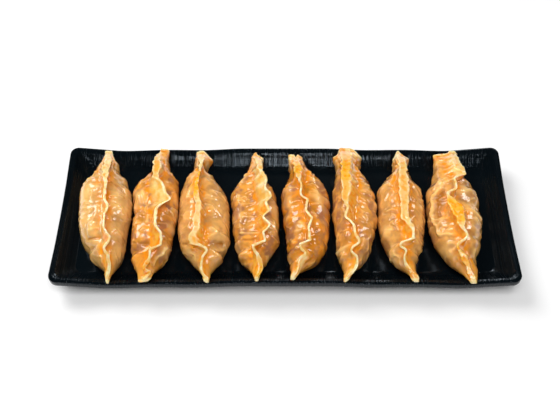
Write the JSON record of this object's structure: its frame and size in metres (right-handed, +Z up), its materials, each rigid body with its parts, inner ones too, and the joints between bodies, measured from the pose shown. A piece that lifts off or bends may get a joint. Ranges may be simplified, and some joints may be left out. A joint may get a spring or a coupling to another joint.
{
  "type": "plate of dumplings",
  "caption": "Long black rectangular plate with a wavy raised rim, filled with a row of boiled kimchi dumplings that have pleated crests.",
  "frame": {"origin": "bottom centre of the whole dish, on the surface that the plate's foot stands on", "axes": "+X along the plate to the right, +Y to the plate's back side, away from the eater, +Z up"},
  "size_m": [0.3, 0.108, 0.0362],
  "materials": {
    "melamine": "satin black moulded melamine with fine pressed lines",
    "dough": "wet boiled wheat dough, orange brown from the kimchi filling, with pale pressed edges"
  },
  "bodies": {
    "root": {"plate": "melamine", "dumpling_1": "dough", "dumpling_2": "dough", "dumpling_3": "dough", "dumpling_4": "dough", "dumpling_5": "dough", "dumpling_6": "dough", "dumpling_7": "dough", "dumpling_8": "dough"}
  },
  "joints": []
}
